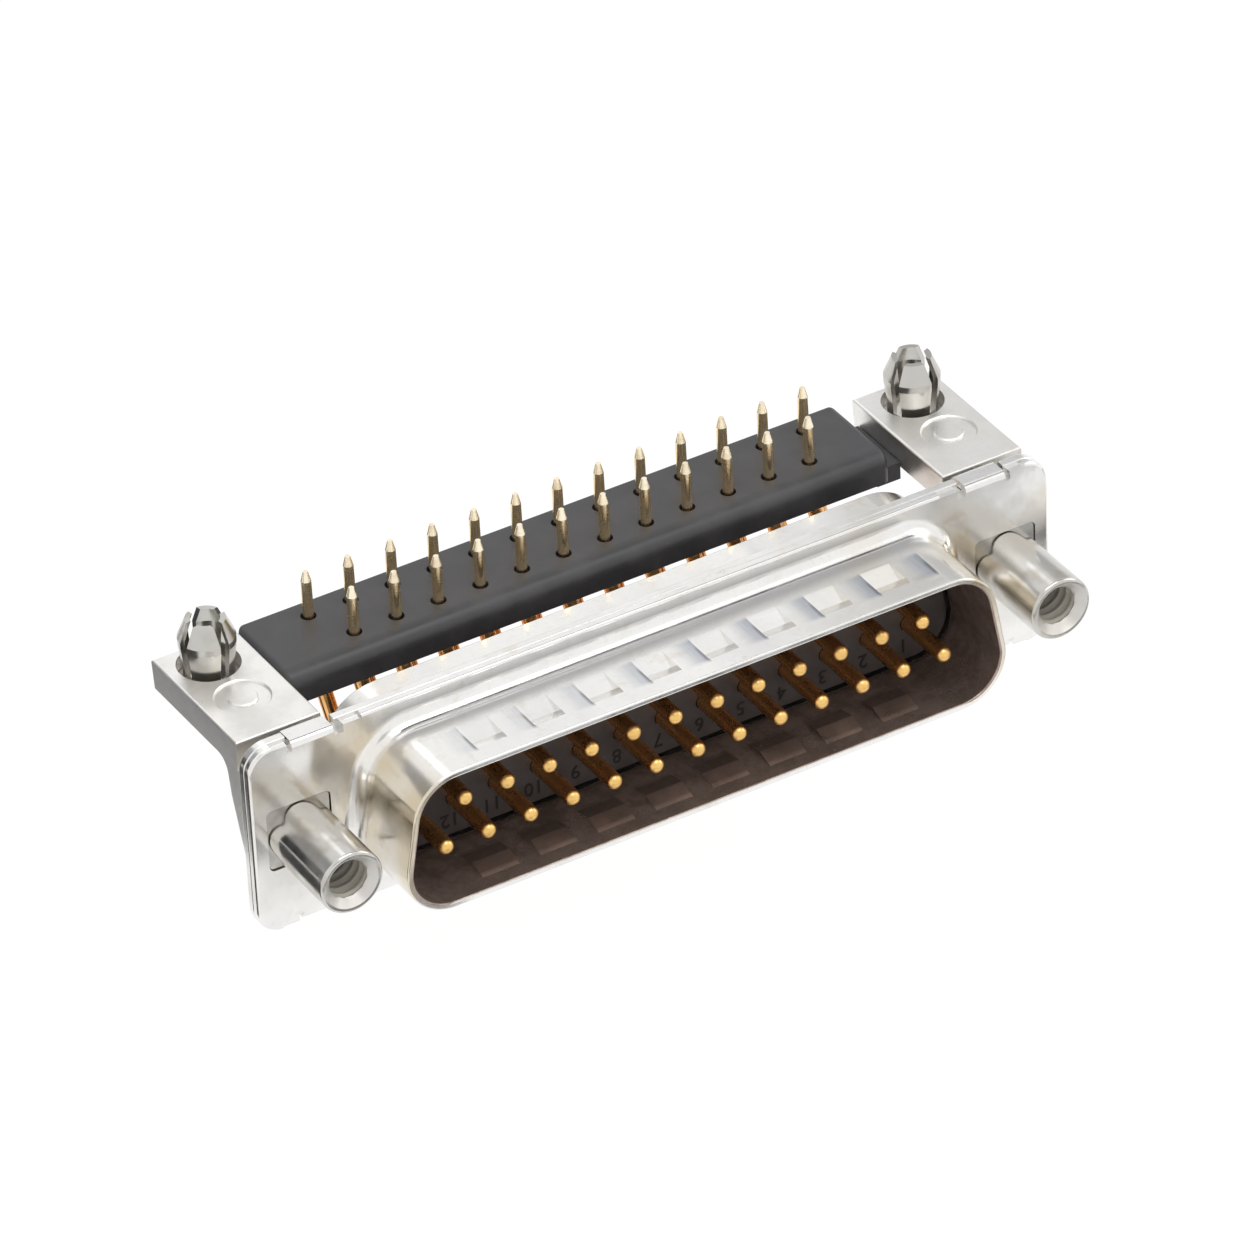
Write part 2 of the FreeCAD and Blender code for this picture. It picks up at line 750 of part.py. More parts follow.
def make_bracket(name, side):
    body = start_body(name)
    bind(body, "Placement.Base.x", half_pitch * side)
    width = bracket_outer - bracket_inner
    middle = ((bracket_outer + bracket_inner) / 2 - half_pitch) * side
    form = start_sketch(body, "SideForm", "YZ_Plane", middle)
    polygon(form, [(plate_front, s.seat_height), (plate_rear, s.seat_height),
                   (plate_rear - s.rear_rake, plate_bottom), (leg_rear_top, plate_bottom),
                   (knee_rear, s.knee_height), (flange_back + s.toe, -s.foot_height),
                   (flange_back, -s.foot_height), (flange_back, leg_crest),
                   (plate_front, leg_crest)])
    pad(body, form, width, middle=True, name="Form")
    soften(body, "Fillet", s.leg_fillet,
           lambda p: near(p.y, leg_rear_top) and near(p.z, plate_bottom), "InnerFillet")
    soften(body, "Fillet", s.bracket_edge, lambda p: near(p.z, s.seat_height), "SeatEdge")
    relief = start_sketch(body, "LegRelief", "XZ_Plane")
    near_end, far_end = sorted(
        [(bracket_inner - 1.0 - half_pitch) * side, (bracket_inner + s.leg_relief - half_pitch) * side],
        key=lambda place: place.value)
    box(relief, near_end, far_end, -2 * s.foot_height, plate_bottom)
    pocket(body, relief, leg_rear_top + 2 * s.leg_fillet, name="ReliefCut")

    lock = start_sketch(body, "LockHole", "XY_Plane", s.seat_height)
    circle(lock, 0.0, s.lock_from_flange, s.lock_hole)
    pocket(body, lock, 2 * (s.seat_height - plate_bottom), name="LockCut")
    mark = start_sketch(body, "CoinedRing", "XY_Plane", s.seat_height)
    circle(mark, 0.0, s.mark_from_flange, 2 * s.mark_outer)
    circle(mark, 0.0, s.mark_from_flange, 2 * s.mark_inner)
    pocket(body, mark, s.mark_depth, name="RingCut")
    centre = s.mark_from_flange.value
    for radius, ring in ((s.mark_outer, "OuterEdge"), (s.mark_inner, "InnerEdge")):
        soften(body, "Chamfer", s.mark_edge, lambda p: near(p.z, s.seat_height)
               and near(math.hypot(p.x, p.y - centre), radius), ring)
    hole = start_sketch(body, "ShankHole", "XZ_Plane")
    circle(hole, 0.0, 0.0, s.shank_diameter + 2 * s.shank_play)
    pocket(body, hole, plate_rear, name="ShankCut")
    spot = start_sketch(body, "SpotFace", "XZ_Plane", -spot_face)
    circle(spot, 0.0, 0.0, spot_diameter)
    pocket(body, spot, plate_rear, name="SpotCut")
    return body


def make_boardlock(name, side, angle):
    """A sleeve slotted into four tines, pressed in at an angle of its own."""
    body = start_body(name)
    bind(body, "Placement.Rotation.Angle", angle)
    bind(body, "Placement.Base.x", half_pitch * side)
    bind(body, "Placement.Base.y", s.lock_from_flange)
    collar, root = lock_collar / 2, s.lock_root / 2
    widest, top = s.lock_widest / 2, s.lock_top / 2
    belly, crown = s.seat_height + s.lock_widest_rise, s.seat_height + s.lock_rise
    shoulder = plate_bottom + s.lock_collar_length
    profile = start_sketch(body, "SleeveProfile", "XZ_Plane")
    outer = [(collar, plate_bottom), (collar, shoulder), (root, shoulder),
             (root, s.seat_height), (widest, belly - s.lock_belly),
             (widest, belly), (top, crown)]
    inner = [(top - s.lock_wall, crown), (widest - s.lock_wall, belly),
             (root - s.lock_wall, s.seat_height), (root - s.lock_wall, plate_bottom)]
    polygon(profile, outer + inner)
    turn(body, profile, "V_Axis")
    half_slot = s.lock_slot / 2
    for across, along in ((half_slot, lock_collar), (lock_collar, half_slot)):
        slot = start_sketch(body, "Slot", "XY_Plane", crown)
        box(slot, -across, across, -along, along)
        pocket(body, slot, s.lock_rise + s.lock_slot_sink, name="SlotCut")
    return body


def make_screwlock(name, side):
    """A post with a square collar, which its window in the front shell keeps from turning."""
    body = start_body(name)
    bind(body, "Placement.Base.x", half_pitch * side)
    post, mouth, bore = s.post_diameter / 2, post_mouth / 2, s.thread_bore / 2
    shank, head = s.shank_diameter / 2, s.head_diameter / 2
    floor = s.post_mouth_depth - s.post_length
    back = spot_face + s.head_length
    profile = start_sketch(body, "PostProfile", "YZ_Plane")
    polygon(profile, [(-s.post_length, mouth), (-s.post_length, post), (s.collar_sink, post),
                      (s.collar_sink, shank), (spot_face, shank), (spot_face, head),
                      (back, head), (back, bore), (floor, bore)])
    turn(body, profile, "H_Axis")
    rim = (mouth + post) / 2
    soften(body, "Fillet", s.post_round, lambda p: near(p.y, -s.post_length)
           and math.hypot(p.x, p.z) > rim.value, "MouthEdge")
    collar = start_sketch(body, "CollarOutline", "XZ_Plane", -s.collar_sink)
    side, corner = window_side - 2 * s.post_collar_play, s.window_corner - s.post_collar_play
    rounded_box(collar, 0.0, 0.0, side, side, corner)
    circle(collar, 0.0, 0.0, s.thread_bore)
    pad(body, collar, s.front_sheet - s.collar_sink, back=True, name="Collar")
    return body


# Build, test and write

make_front_shell()
make_rear_shell()
make_front_insulator()
make_rear_insulator()
make_contacts()
make_pin_spacer()
for label, side, angle in (("left", -1, s.lock_turn_left), ("right", 1, s.lock_turn_right)):
    make_bracket("bracket_" + label, side)
    make_boardlock("boardlock_" + label, side, angle)
    make_screwlock("screwlock_" + label, side)
doc.recompute()

for thing in doc.Objects:
    wrong = [word for word in thing.State if word in ("Invalid", "Error")]
    assert not wrong, "%s: %s" % (thing.Label, wrong)
bodies = [thing for thing in doc.Objects if thing.TypeId == "PartDesign::Body"]
for body in bodies:
    assert not body.Shape.isNull() and body.Shape.isValid(), body.Label
    assert len(body.Shape.Solids) == 1, body.Label

os.makedirs("parts", exist_ok=True)
for body in bodies:
    body.Shape.exportStep(os.path.join("parts", body.Label + ".step"))
    print("%-18s %9.3f mm3" % (body.Label, body.Shape.Volume))
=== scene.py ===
import math

import bmesh
import bpy
from mathutils import Matrix, Vector


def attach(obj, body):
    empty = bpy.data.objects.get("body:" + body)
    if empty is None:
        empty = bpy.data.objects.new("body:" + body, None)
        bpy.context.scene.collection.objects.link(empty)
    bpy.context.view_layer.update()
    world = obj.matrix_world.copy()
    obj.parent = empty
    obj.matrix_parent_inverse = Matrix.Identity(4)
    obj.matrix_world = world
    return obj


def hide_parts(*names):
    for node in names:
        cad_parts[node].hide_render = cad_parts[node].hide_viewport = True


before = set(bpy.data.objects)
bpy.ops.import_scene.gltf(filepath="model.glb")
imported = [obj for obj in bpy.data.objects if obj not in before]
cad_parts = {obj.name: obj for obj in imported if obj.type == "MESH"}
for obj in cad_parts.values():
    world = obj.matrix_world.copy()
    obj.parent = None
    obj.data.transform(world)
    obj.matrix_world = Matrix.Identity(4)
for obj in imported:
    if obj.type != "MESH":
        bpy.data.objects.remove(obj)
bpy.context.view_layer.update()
mm = 0.001


# small tools for shader graphs

class Value:
    # a socket that can be used in sums
    def __init__(self, recipe, socket):
        self.recipe, self.socket = recipe, socket

    def maths(self, operation, *others):
        return self.recipe.node("ShaderNodeMath", {"operation": operation},
                                dict(enumerate((self, *others))))

    def __add__(self, other):
        return self.maths("ADD", other)

    def __mul__(self, other):
        return self.maths("MULTIPLY", other)

    def __sub__(self, other):
        return self.maths("SUBTRACT", other)

    def __rsub__(self, other):
        return self.recipe.node("ShaderNodeMath", {"operation": "SUBTRACT"}, {0: other, 1: self})

    __radd__ = __add__
    __rmul__ = __mul__


class Recipe:
    # a material or world and the nodes in it
    def __init__(self, owner):
        owner.use_nodes = True
        self.tree = owner.node_tree
        self.tree.nodes.clear()

    def node(self, kind, settings=None, inputs=None, output=0):
        made = self.tree.nodes.new(kind)
        for name, value in (settings or {}).items():
            setattr(made, name, value)
        for name, value in (inputs or {}).items():
            if isinstance(value, Value):
                self.tree.links.new(value.socket, made.inputs[name])
            else:
                made.inputs[name].default_value = value
        return Value(self, made.outputs[output]) if len(made.outputs) else None

    def place(self, stretch=(1.0, 1.0, 1.0), turn=(0.0, 0.0, 0.0)):
        # the piece's own coordinates, stretched and turned
        own = self.node("ShaderNodeTexCoord", output="Object")
        return self.node("ShaderNodeMapping", None, {"Vector": own, "Scale": stretch, "Rotation": turn})

    def split(self, vector):
        return [self.node("ShaderNodeSeparateXYZ", None, {"Vector": vector}, axis) for axis in "XYZ"]

    def grain(self, where, size, detail=2.0, rough=0.5, warp=0.0):
        # noise whose features are about this many millimetres across
        return self.node("ShaderNodeTexNoise", None, {
            "Vector": where, "Scale": 1.0 / (size * mm), "Detail": detail, "Roughness": rough,
            "Distortion": warp})

    def dots(self, where, spacing, outside, inside):
        # small round dots, about this many millimetres apart
        cells = self.node("ShaderNodeTexVoronoi", {"feature": "F1"}, {
            "Vector": where, "Scale": 1.0 / (spacing * mm), "Randomness": 1.0})
        return self.mask(cells, outside, inside)

    def mask(self, value, low, high, fromValue=0.0, toValue=1.0):
        # a smooth step between two levels
        return self.node("ShaderNodeMapRange", {"interpolation_type": "SMOOTHSTEP"}, {
            "Value": value, "From Min": low, "From Max": high, "To Min": fromValue, "To Max": toValue})

    def reach(self, value, span, fromValue=0.0, toValue=1.0):
        # a smooth step between two places in millimetres
        return self.mask(value, span[0] * mm, span[1] * mm, fromValue, toValue)

    def blend(self, factor, one, other):
        one, other = [(*c, 1.0) if isinstance(c, tuple) else c for c in (one, other)]
        return self.node("ShaderNodeMix", {"data_type": "RGBA"}, {0: factor, 6: one, 7: other}, output=2)

    def bump(self, height, depth, under=None):
        inputs = {"Height": height, "Distance": depth * mm, "Strength": 1.0}
        if under is not None:
            inputs["Normal"] = under
        return self.node("ShaderNodeBump", None, inputs)

    def finish(self, **sockets):
        surface = self.node("ShaderNodeBsdfPrincipled", None, {
            name.replace("_", " "): value for name, value in sockets.items()})
        self.node("ShaderNodeOutputMaterial", None, {"Surface": surface})


def newMaterial(name):
    material = bpy.data.materials.new(name)
    return material, Recipe(material)


# finishes

tinPlate = {
    "clean": (0.89, 0.88, 0.86),
    "grey": (0.70, 0.70, 0.70),
    # straw and gold are partly stain, partly a painted warm reflection of the gold contacts
    "strawStainAndReflection": (0.72, 0.63, 0.48),
    "cool": (0.78, 0.82, 0.86),
    "gold": (0.60, 0.47, 0.28),
    "rootDarkReflection": (0.36, 0.36, 0.37),      # painted dark reflection along the shroud's root fillet
    "pressed": (0.50, 0.52, 0.56),   # painted shade, between the dimples
    "creaseShade": (0.22, 0.22, 0.24),    # painted shade along a dimple's edge
    # the shroud's inner side, in two mottled tones: painted shade and brown reflection in its recess
    "inside": ((0.44, 0.35, 0.31), (0.28, 0.215, 0.185)),
    "innerWallShade": (0.20, 0.145, 0.12),   # painted shade on the inner walls, where the dimples bulge in
    "speck": (0.80, 0.78, 0.74),
    "gloss": (0.12, 0.26),
    # mm across a feature
    "patch": 5.0,
    "stain": 9.0,
    "castSize": 2.4,
    "spot": 0.7,
    "brush": 0.3,
    "line": 0.10,
    "fine": 0.12,
    "mottle": 1.1,
    "speckSpacing": 1.5,
    "waveSize": 3.2,
    # mm of height
    "wave": 0.012,
    "skin": 0.0006,
    # mm from the part's middle, where each tint sets in
    "endsWide": (15.0, 18.5),
    "endsTall": (5.2, 3.6),
    "endsDeep": (-0.4, -1.2),
    "outerTall": (4.2, 4.5),
    "rootDeep": ((-2.4, -0.95), (-0.56, -0.68)),
    "dimpleDeep": ((-4.7, -4.2), (-1.8, -2.3)),
    "dimpleFade": (-13.0, 3.0),
    "creaseDeep": (-2.6, -3.4),
    "inward": (-0.5, -1.5),
    "insideDeep": (-0.2, -0.5),
    "insideTall": (4.24, 4.22),
    "pushedTall": (4.14, 4.06),
    "pushedWide": (17.2, 16.8),
    "dimple": 3.81,                  # mm from dimple to dimple
    # shares of the way from one dimple to the next
    "dimpleStart": 0.2375,
    "dimpleSides": ((0.04, 0.46), (0.50, 0.47)),
    "creaseSide": (0.40, 0.465),
}


def makeTinPlate():
    look = tinPlate
    material, recipe = newMaterial("tinPlate")
    where = recipe.place()
    x, y, z = recipe.split(where)
    acrossNormal, _, upNormal = recipe.split(recipe.node("ShaderNodeNewGeometry", output="Normal"))
    wide, tall = x.maths("ABSOLUTE"), z.maths("ABSOLUTE")

    # grey patches and brushing on the clean plate
    patches = recipe.grain(recipe.place((1.0, 0.35, 1.0)), look["patch"], 3.0, 0.55, 0.4)
    fine = recipe.grain(where, look["fine"], 3.0, 0.6)
    lines = recipe.grain(recipe.place((1.0, 0.05, 1.0)), look["line"])
    spots = recipe.grain(where, look["spot"], 4.0, 0.7)
    brushed = recipe.grain(recipe.place((1.0, 1.0, 0.22), (0.0, 0.35, 0.0)), look["brush"], 3.0, 0.65)
    grey = (recipe.mask(patches, 0.38, 0.68) * 0.32 + recipe.mask(spots, 0.5, 0.72) * 0.2
            + recipe.mask(brushed, 0.5, 0.8) * 0.3)
    colour = recipe.blend(grey, look["clean"], look["grey"])

    # straw, blue and gold tints, strongest at the shroud's ends; the straw and gold are partly stain,
    # partly a painted warm reflection of the gold contacts
    ends = recipe.reach(wide, look["endsWide"]) * recipe.reach(tall, look["endsTall"])
    ends = ends * recipe.reach(y, look["endsDeep"], 0.16, 0.78)
    stains = recipe.grain(where, look["stain"], 2.0, 0.5, 0.8)
    strawStainAndReflection = recipe.mask(stains, 0.52, 0.74) * 0.2 + ends * recipe.mask(stains, 0.3, 0.6)
    colour = recipe.blend(strawStainAndReflection, colour, look["strawStainAndReflection"])
    cast = recipe.grain(where, look["castSize"], 3.0, 0.6, 0.5)
    colour = recipe.blend(recipe.mask(cast, 0.36, 0.26) * 0.45, colour, look["cool"])
    colour = recipe.blend(recipe.mask(cast, 0.58, 0.72) * (ends * 0.45 + 0.22), colour, look["gold"])

    # painted dark reflection along the shroud's root, and painted shade on the patches between the dimples
    outer = recipe.reach(tall, look["outerTall"])
    rootFront, rootBack = look["rootDeep"]
    root = recipe.reach(y, rootFront) * recipe.reach(y, rootBack) * outer
    # painted dark reflection along the root
    colour = recipe.blend(root * 0.85, colour, look["rootDarkReflection"])
    along = (x * (1.0 / (look["dimple"] * mm)) + look["dimpleStart"]).maths("FRACT")
    oneSide, otherSide = look["dimpleSides"]
    dimpleFront, dimpleBack = look["dimpleDeep"]
    pressed = recipe.mask(along, *oneSide) * recipe.mask(along, *otherSide) * outer
    pressed = pressed * recipe.reach(y, dimpleFront) * recipe.reach(y, dimpleBack)
    # the dimples' painted shade, stronger towards +x
    strength = recipe.reach(x, look["dimpleFade"], 0.4, 1.0) + (lines - 0.5) * 0.8
    colour = recipe.blend(pressed * strength, colour, look["pressed"])
    # painted shade along each dimple's edge wall
    creaseShade = recipe.mask(along, *look["creaseSide"]) * recipe.reach(y, look["creaseDeep"], 0.2, 1.0)
    colour = recipe.blend(pressed * creaseShade * 0.85, colour, look["creaseShade"])

    # painted shade and brown reflection on the shroud's inner side, darkest on the inner top and bottom
    # walls
    inward = recipe.reach(x * acrossNormal + z * upNormal, look["inward"])
    inside = inward * recipe.reach(y, look["insideDeep"]) * recipe.reach(tall, look["insideTall"])
    mottle = recipe.mask(recipe.grain(where, look["mottle"], 4.0, 0.65), 0.38, 0.66)
    innerWallShade = recipe.reach(tall, look["pushedTall"]) * recipe.reach(wide, look["pushedWide"])
    shade = recipe.blend(innerWallShade * 0.75, recipe.blend(mottle, *look["inside"]), look["innerWallShade"])
    colour = recipe.blend(inside, colour, shade)
    specks = recipe.dots(where, look["speckSpacing"], 0.045, 0.03)
    colour = recipe.blend(inside * specks * 0.6, colour, look["speck"])

    gloss = recipe.mask(patches, 0.3, 0.7, *look["gloss"]) + (fine - 0.5) * 0.10
    gloss = gloss + inside * (mottle * 0.14 + 0.12)
    wave = recipe.bump(recipe.grain(where, look["waveSize"], 1.0), look["wave"])
    skin = recipe.bump(fine + lines * 0.5, look["skin"], wave)
    recipe.finish(Base_Color=colour, Metallic=1.0 - inside * 0.22, Roughness=gloss, Normal=skin)
    return material


bracketPlate = {
    "clean": (0.88, 0.865, 0.84),
    "dull": (0.62, 0.60, 0.565),
    "gloss": (0.30, 0.44),
    # mm across a feature
    "cloud": 2.5,
    "speckle": 0.09,
    "scuff": 0.3,
    "skin": 0.0045,      # mm of height
}


def makeBracketPlate():
    look = bracketPlate
    material, recipe = newMaterial("bracketPlate")
    where = recipe.place()
    cloud = recipe.grain(where, look["cloud"], 3.0, 0.55)
    speckle = recipe.grain(where, look["speckle"], 2.0, 0.7)
    scuff = recipe.grain(recipe.place((1.0, 0.12, 1.0), (0.0, 0.0, 0.6)), look["scuff"])
    colour = recipe.blend(recipe.mask(cloud, 0.35, 0.7) * 0.5, look["clean"], look["dull"])
    colour = recipe.blend(recipe.mask(speckle, 0.55, 0.75) * 0.35, colour, look["dull"])
    gloss = recipe.mask(cloud, 0.3, 0.7, *look["gloss"]) + (speckle - 0.5) * 0.18
    skin = recipe.bump(speckle + scuff * 0.3, look["skin"])
    recipe.finish(Base_Color=colour, Metallic=1.0, Roughness=gloss, Normal=skin)
    return material


brightNickel = {
    # turned is the turning marks' height in mm
    "plain": {"clean": (0.62, 0.605, 0.575), "warm": (0.42, 0.37, 0.30), "gloss": (0.15, 0.25),
              "turned": 0.0008, "metal": 1.0},
    # the lock is a darker copy of the plain nickel: painted shade for the darker surroundings it reflects
    "lock": {"clean": (0.56, 0.545, 0.515), "warm": (0.40, 0.36, 0.30), "gloss": (0.17, 0.27),
             "turned": 0.0010, "metal": 1.0},
    "thread": {"clean": (0.58, 0.56, 0.50), "warm": (0.44, 0.41, 0.33), "gloss": (0.48, 0.58),
               "turned": 0.0015, "metal": 0.12},
    "mouth": {"clean": (0.68, 0.66, 0.63), "warm": (0.58, 0.55, 0.50), "gloss": (0.40, 0.50),
              "turned": 0.0010, "metal": 0.8},
}


def makeBrightNickel(name):
    look = brightNickel[name]
    material, recipe = newMaterial(name + "Nickel")
    cloud = recipe.grain(recipe.place(), 1.6)
    turned = recipe.grain(recipe.place((0.1, 1.0, 0.1)), 0.05)
    colour = recipe.blend(recipe.mask(cloud, 0.45, 0.72) * 0.5, look["clean"], look["warm"])
    gloss = recipe.mask(cloud, 0.3, 0.7, *look["gloss"])
    skin = recipe.bump(turned, look["turned"])
    recipe.finish(Base_Color=colour, Metallic=look["metal"], Roughness=gloss, Normal=skin)
    return material


contactGold = {
    # the nose's tip: a painted highlight
    "tip": (0.99, 0.83, 0.50),
    "ring": (0.92, 0.60, 0.21),      # round the tip, painted shade on the nose's rim
    "shaft": (0.90, 0.50, 0.20),     # painted shade, on the shafts inside the shroud and on the bent legs
    "tail": (0.99, 0.80, 0.50),      # above the board side, painted lit
    "point": (0.99, 0.90, 0.70),     # the tails' points, a painted highlight
    "deep": (0.60, 0.33, 0.12),
    "gloss": (0.13, 0.24),
    # mm, where each colour sets in, along Y or up
    "tipDeep": (-4.62, -4.80),
    "ringDeep": (-4.15, -4.34),
    "shaftDeep": (-0.2, -0.5),
    "tailTall": (4.6, 6.0),
    "pointTall": (8.0, 8.35),
    # mm across a feature, and of height
    "cloud": 1.2,
    "drawn": 0.25,
    "skin": 0.0004,
}


def makeContactGold():
    look = contactGold
    material, recipe = newMaterial("contactGold")
    where = recipe.place()
    _, y, z = recipe.split(where)
    cloud = recipe.grain(where, look["cloud"], 3.0, 0.6)
    drawn = recipe.grain(recipe.place((1.0, 1.0, 0.1)), look["drawn"])
    shaft = recipe.reach(y, look["shaftDeep"])
    ring = recipe.reach(y, look["ringDeep"])
    tail = recipe.reach(z, look["tailTall"])
    # painted light: shaded shaft and rim, lit tip and tails, highlights on the points
    colour = recipe.blend(ring, look["shaft"], look["ring"])
    colour = recipe.blend(recipe.reach(y, look["tipDeep"]), colour, look["tip"])
    colour = recipe.blend(tail, colour, look["tail"])
    colour = recipe.blend(recipe.reach(z, look["pointTall"]), colour, look["point"])
    colour = recipe.blend(recipe.mask(cloud, 0.4, 0.7) * 0.28, colour, look["deep"])
    gloss = recipe.mask(cloud, 0.3, 0.7, *look["gloss"]) + ring * 0.07 + tail * 0.07 + shaft * 0.09
    skin = recipe.bump(drawn, look["skin"])
    recipe.finish(Base_Color=colour, Metallic=1.0, Roughness=gloss, Normal=skin)
    return material


mouldedPlastic = {
    "insulator": {"body": (0.056, 0.050, 0.051), "pale": (0.080, 0.073, 0.074), "gloss": (0.34, 0.46)},
    "spacer": {"body": (0.052, 0.051, 0.055), "pale": (0.070, 0.068, 0.073), "gloss": (0.34, 0.48)},
    "dust": (0.22, 0.21, 0.20),
    # mm across a feature, and of height
    "cloud": 2.2,
    "pit": 0.07,
    "dustSpacing": 1.3,
    "skin": 0.003,
}


def makeMouldedPlastic(name):
    look = mouldedPlastic[name]
    material, recipe = newMaterial(name + "Plastic")
    where = recipe.place()
    cloud = recipe.grain(where, mouldedPlastic["cloud"], 3.0, 0.55)
    pits = recipe.grain(where, mouldedPlastic["pit"], 2.0, 0.6)
    dust = recipe.dots(where, mouldedPlastic["dustSpacing"], 0.035, 0.02)
    colour = recipe.blend(recipe.mask(cloud, 0.35, 0.7), look["body"], look["pale"])
    colour = recipe.blend(dust * 0.25, colour, mouldedPlastic["dust"])
    gloss = recipe.mask(cloud, 0.3, 0.7, *look["gloss"]) + (pits - 0.5) * 0.1
    skin = recipe.bump(pits, mouldedPlastic["skin"])
    recipe.finish(Base_Color=colour, Roughness=gloss, Normal=skin)
    return material


mouldedMarks = {"dark": (0.003, 0.0025, 0.002), "pale": (0.006, 0.005, 0.004), "gloss": 0.5, "cloud": 0.2}


def makeMouldedMarks():
    material, recipe = newMaterial("mouldedMarks")
    cloud = recipe.grain(recipe.place(), mouldedMarks["cloud"])
    colour = recipe.blend(cloud, mouldedMarks["dark"], mouldedMarks["pale"])
    recipe.finish(Base_Color=colour, Roughness=mouldedMarks["gloss"])
    return material


finishes = {
    "tin": makeTinPlate(), "bracket": makeBracketPlate(), "nickel": makeBrightNickel("plain"),
    "lock": makeBrightNickel("lock"), "thread": makeBrightNickel("thread"),
    "mouth": makeBrightNickel("mouth"), "gold": makeContactGold(),
    "insulator": makeMouldedPlastic("insulator"), "spacer": makeMouldedPlastic("spacer"),
    "marks": makeMouldedMarks(),
}
print("finishes made:", len(finishes))


# dress the CAD nodes

nodeFinish = {"shell": "tin", "bracket": "bracket", "boardlock": "lock", "screwlock": "nickel",
              "contact": "gold", "insulator": "insulator", "spacer": "spacer"}

for name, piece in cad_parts.items():
    word = next(word for word in nodeFinish if word in name)
    for place in range(len(piece.data.materials)):
        piece.data.materials[place] = finishes[nodeFinish[word]]
print("nodes dressed:", len(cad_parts))


# new pieces

def addPiece(name, mesh, slot, *coats):
    # the first coat is the one that faces have unless they are given another
    for coat in coats:
        mesh.materials.append(finishes[coat])
    piece = bpy.data.objects.new(name, mesh)
    bpy.context.scene.collection.objects.link(piece)
    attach(piece, "root")
    return piece


def smoothMesh(bm, name, angle):
    # shades everything smooth but the edges sharper than this many degrees
    mesh = bpy.data.meshes.new(name)
    for face in bm.faces:
        face.smooth = True
    bm.to_mesh(mesh)
    bm.free()
    mesh.set_sharp_from_angle(angle=math.radians(angle))
    return mesh


post = {
    # mm: the outside, from the mouth back, fitted over the solid
    "offset": 23.52, "radius": 2.0, "front": -5.92, "round": 0.2, "roundSteps": 6,
    "mouth": 1.66, "lip": 0.06, "floor": -5.42,
    "collar": 2.025, "corner": 0.35, "collarFront": 0.12, "collarBack": 0.55,
    "shank": 1.6, "spot": 1.75, "head": 1.95, "back": 2.35, "lead": 1.52,
    # mm: the thread, with how many points make a pitch and a turn
    "core": 1.2, "root": 1.42, "pitch": 0.635, "runIn": 0.3, "flank": 1.35,
    "slices": 12, "steps": 96,
    "start": 200,        # degrees, where the thread begins
    "sharp": 32,         # degrees
    "coneMargin": 0.01, "threadMargin": 0.03,
}


def threadLine():
    # (radius, y) points of a wave that is cut flat at its crests and roots
    pitch, slices = post["pitch"], post["slices"]
    middle, swing = (post["core"] + post["root"]) / 2, (post["root"] - post["core"]) / 2
    first = post["front"] - 2 * pitch
    count = math.ceil((post["back"] - first) / pitch + 2) * slices
    points = []
    for place in range(count):
        flank = max(-1.0, min(1.0, post["flank"] * math.cos(2 * math.pi * place / slices)))
        points.append((middle + swing * flank, first + place * pitch / slices))
    return points


def postThread():
    # a helical groove that runs out on the mouth's cone
    bm = bmesh.new()
    line = [bm.verts.new((0.0, y * mm, radius * mm)) for radius, y in threadLine()]
    edges = [bm.edges.new(pair) for pair in zip(line, line[1:])]
    bmesh.ops.spin(bm, geom=line + edges, cent=(0, 0, 0), axis=(0, 1, 0),
                   dvec=(0, post["pitch"] / post["steps"] * mm, 0), angle=2 * math.pi,
                   steps=post["steps"], use_merge=False, use_duplicate=False)
    bmesh.ops.remove_doubles(bm, verts=bm.verts, dist=1e-6)
    bmesh.ops.rotate(bm, verts=bm.verts, cent=(0, 0, 0),
                     matrix=Matrix.Rotation(math.radians(post["start"]), 3, "Y"))
    for level, way in ((post["front"] + post["lip"], -1), (post["back"], 1)):
        bmesh.ops.bisect_plane(bm, geom=bm.verts[:] + bm.edges[:] + bm.faces[:],
                               dist=1e-8, plane_co=(0, level * mm, 0), plane_no=(0, way, 0),
                               clear_outer=True)
    slope = (post["mouth"] - post["core"]) / (post["floor"] - post["front"])
    for vert in bm.verts:
        now = math.hypot(vert.co.x, vert.co.z) / mm
        past = vert.co.y / mm - post["floor"]
        groove = (now - post["core"]) * max(0.0, min(1.0, past / post["runIn"]))
        reach = post["core"] + max(groove, -slope * past)
        vert.co.x *= reach / now
        vert.co.z *= reach / now
    return bm


def postProfile():
    # (radius, y) from the mouth's cone out, over the collar and back to the bore
    radius, front, bend = post["radius"], post["front"], post["round"]
    angles = [step * math.pi / (2 * post["roundSteps"]) for step in range(post["roundSteps"] + 1)]
    arc = [(radius - bend * (1 - math.sin(angle)), front + bend * (1 - math.cos(angle)))
           for angle in angles]
    return ([(post["mouth"], front)] + arc
            + [(radius, post["collarFront"]), ("square", post["collarFront"]),
               ("square", post["collarBack"]), (post["shank"], post["collarBack"]),
               (post["shank"], post["spot"]), (post["head"], post["spot"]),
               (post["head"], post["back"]), (post["lead"], post["back"])])


def squareReach(x, z, half, corner):
    # how far a rounded square reaches in the direction of x, z
    long, short = sorted((abs(x), abs(z)), reverse=True)
    size = math.hypot(long, short)
    long, short, middle = long / size, short / size, half - corner
    if short / long * half <= middle:
        return half / long
    along = (long + short) * middle
    return along + math.sqrt(along ** 2 - 2 * middle ** 2 + corner ** 2)


def rimEdges(bm, level):
    # the open edges at this height along Y, to a thousandth of a millimetre
    return [edge for edge in bm.edges if edge.is_boundary
            and all(abs(vert.co.y - level * mm) < 0.001 * mm for vert in edge.verts)]


